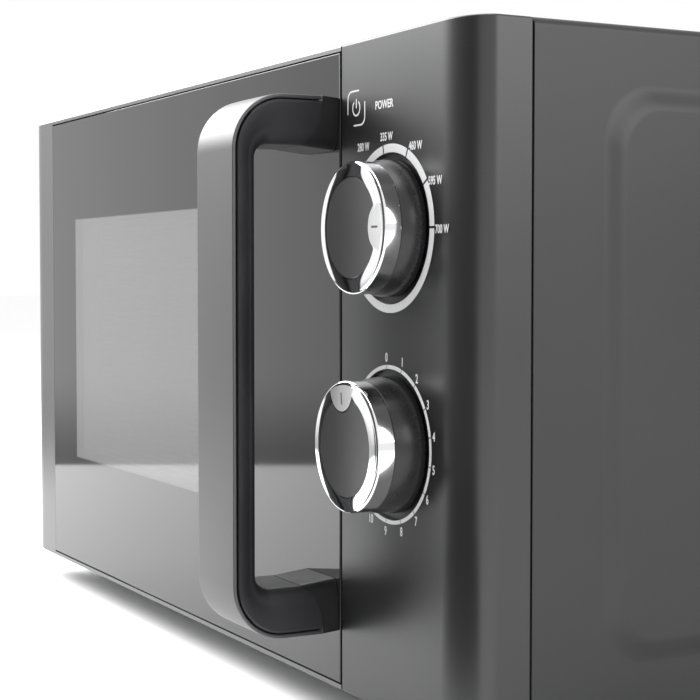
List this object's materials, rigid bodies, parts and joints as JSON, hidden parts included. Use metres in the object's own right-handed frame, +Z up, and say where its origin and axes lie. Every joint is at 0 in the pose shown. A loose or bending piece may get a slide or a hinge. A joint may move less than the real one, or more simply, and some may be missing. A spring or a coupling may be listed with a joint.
{
  "type": "microwave oven",
  "caption": "Countertop microwave oven: steel cabinet, side-hinged mirrored door with a strap handle, two round dials with plated rims, and a glass turntable in its cavity.",
  "frame": {"origin": "centre of the footprint of the whole oven, handle included, on the surface that it stands on", "axes": "+Z up, +X to the right and -Y out of the front as the user faces the oven"},
  "size_m": [0.466, 0.3844, 0.258],
  "materials": {
    "cabinet_paint": "satin graphite paint",
    "cavity_enamel": "smooth grey enamel",
    "zinc_steel": "zinc-plated sheet",
    "core_steel": "laminated steel, varnished",
    "control_plastic": "satin graphite plastic",
    "black_plastic": "satin black",
    "white_plastic": "natural white",
    "mirror_glass": "tinted mirror",
    "clear_glass": "clear",
    "clear_plastic": "clear film",
    "satin_silver": "satin silver",
    "bezel_chrome": "bright plated plastic ring",
    "cap_grey": "satin dark grey",
    "mica": "pressed mica sheet",
    "rubber": "matt black",
    "aluminium": "bare",
    "copper": "varnished copper winding"
  },
  "bodies": {
    "cabinet": {"base_plate": "zinc_steel", "cabinet_wrap": "cabinet_paint", "capacitor": "aluminium", "capacitor_strap": "zinc_steel", "cavity_back": "cavity_enamel", "cavity_ceiling": "cavity_enamel", "cavity_floor": "cavity_enamel", "cavity_left_wall": "cavity_enamel", "cavity_right_wall": "cavity_enamel", "control_fascia": "control_plastic", "cord_gland": "black_plastic", "fan_duct": "black_plastic", "fan_motor": "core_steel", "foot_1": "rubber", "foot_2": "rubber", "foot_3": "rubber", "foot_4": "rubber", "front_plate": "cabinet_paint", "hinge_lower": "zinc_steel", "hinge_upper": "zinc_steel", "interlock_bracket": "white_plastic", "lamp_bulb": "clear_glass", "lamp_holder": "zinc_steel", "lower_switch": "black_plastic", "magnetron": "aluminium", "power_unit": "white_plastic", "rear_panel": "cabinet_paint", "timer_unit": "white_plastic", "transformer_coils": "copper", "transformer_core": "core_steel", "turntable_motor": "zinc_steel", "upper_switch": "black_plastic", "waveguide": "zinc_steel", "waveguide_cover": "mica"},
    "door": {"door_frame": "control_plastic", "door_glass": "mirror_glass", "door_screen": "zinc_steel", "door_choke_cover": "black_plastic", "door_inner_pane": "clear_plastic", "handle_body": "black_plastic", "handle_cover": "satin_silver", "handle_foot_upper": "black_plastic", "handle_foot_lower": "black_plastic"},
    "latch": {"latch_slide": "white_plastic"},
    "power_knob": {"power_knob_body": "black_plastic", "power_knob_bezel": "bezel_chrome", "power_knob_cap": "cap_grey"},
    "timer_knob": {"timer_knob_body": "black_plastic", "timer_knob_bezel": "bezel_chrome", "timer_knob_cap": "cap_grey"},
    "turntable": {"turntable_tray": "clear_glass", "tray_coupler": "white_plastic"},
    "roller_ring": {"roller_ring": "white_plastic"},
    "roller_1": {"roller_1": "white_plastic"},
    "roller_2": {"roller_2": "white_plastic"},
    "roller_3": {"roller_3": "white_plastic"},
    "fan": {"fan_wheel": "white_plastic"},
    "upper_plunger": {"upper_switch_plunger": "white_plastic"},
    "lower_plunger": {"lower_switch_plunger": "white_plastic"}
  },
  "joints": [
    {"name": "door_hinge", "type": "hinge", "parent": "cabinet", "child": "door", "pos_m": [-0.2199, -0.13595, 0.015], "axis": [0, 0, -1], "range_deg": [0, 100]},
    {"name": "latch_slide", "type": "slide", "parent": "door", "child": "latch", "axis": [0, 0, 1], "range_m": [-0.004, 0], "stiffness_N_per_m": 200, "springref_m": 0.004},
    {"name": "power_dial", "type": "hinge", "parent": "cabinet", "child": "power_knob", "pos_m": [0.178, -0.14775, 0.1888], "axis": [0, 1, 0], "range_deg": [-167.5, 0]},
    {"name": "timer_dial", "type": "hinge", "parent": "cabinet", "child": "timer_knob", "pos_m": [0.178, -0.14775, 0.112], "axis": [0, 1, 0], "range_deg": [0, 330]},
    {"name": "turntable_spin", "type": "hinge", "parent": "cabinet", "child": "turntable", "pos_m": [-0.0525, 0.0248, 0.0367], "axis": [0, 0, 1], "continuous": true},
    {"name": "roller_ring_spin", "type": "hinge", "parent": "cabinet", "child": "roller_ring", "pos_m": [-0.0525, 0.0248, 0.0445], "axis": [0, 0, 1], "continuous": true},
    {"name": "roller_1_spin", "type": "hinge", "parent": "roller_ring", "child": "roller_1", "pos_m": [-0.0525, 0.1116, 0.0445], "axis": [0, -1, 0], "continuous": true},
    {"name": "roller_2_spin", "type": "hinge", "parent": "roller_ring", "child": "roller_2", "pos_m": [-0.12767, -0.0186, 0.0445], "axis": [0.866, 0.5, 0], "continuous": true},
    {"name": "roller_3_spin", "type": "hinge", "parent": "roller_ring", "child": "roller_3", "pos_m": [0.02267, -0.0186, 0.0445], "axis": [-0.866, 0.5, 0], "continuous": true},
    {"name": "fan_spin", "type": "hinge", "parent": "cabinet", "child": "fan", "pos_m": [0.168, 0.12025, 0.181], "axis": [0, 1, 0], "continuous": true},
    {"name": "lower_plunger_press", "type": "slide", "parent": "cabinet", "child": "lower_plunger", "axis": [0, 1, 0], "range_m": [0, 0.0015], "stiffness_N_per_m": 150, "springref_m": -0.0015},
    {"name": "upper_plunger_press", "type": "slide", "parent": "cabinet", "child": "upper_plunger", "axis": [0, 1, 0], "range_m": [0, 0.0015], "stiffness_N_per_m": 150, "springref_m": -0.0015}
  ],
  "couplings": [
    {"joint": "roller_ring_spin", "follows": "turntable_spin", "ratio": 0.5},
    {"joint": "roller_1_spin", "follows": "turntable_spin", "ratio": 5.7867},
    {"joint": "roller_2_spin", "follows": "turntable_spin", "ratio": 5.7867},
    {"joint": "roller_3_spin", "follows": "turntable_spin", "ratio": 5.7867}
  ]
}
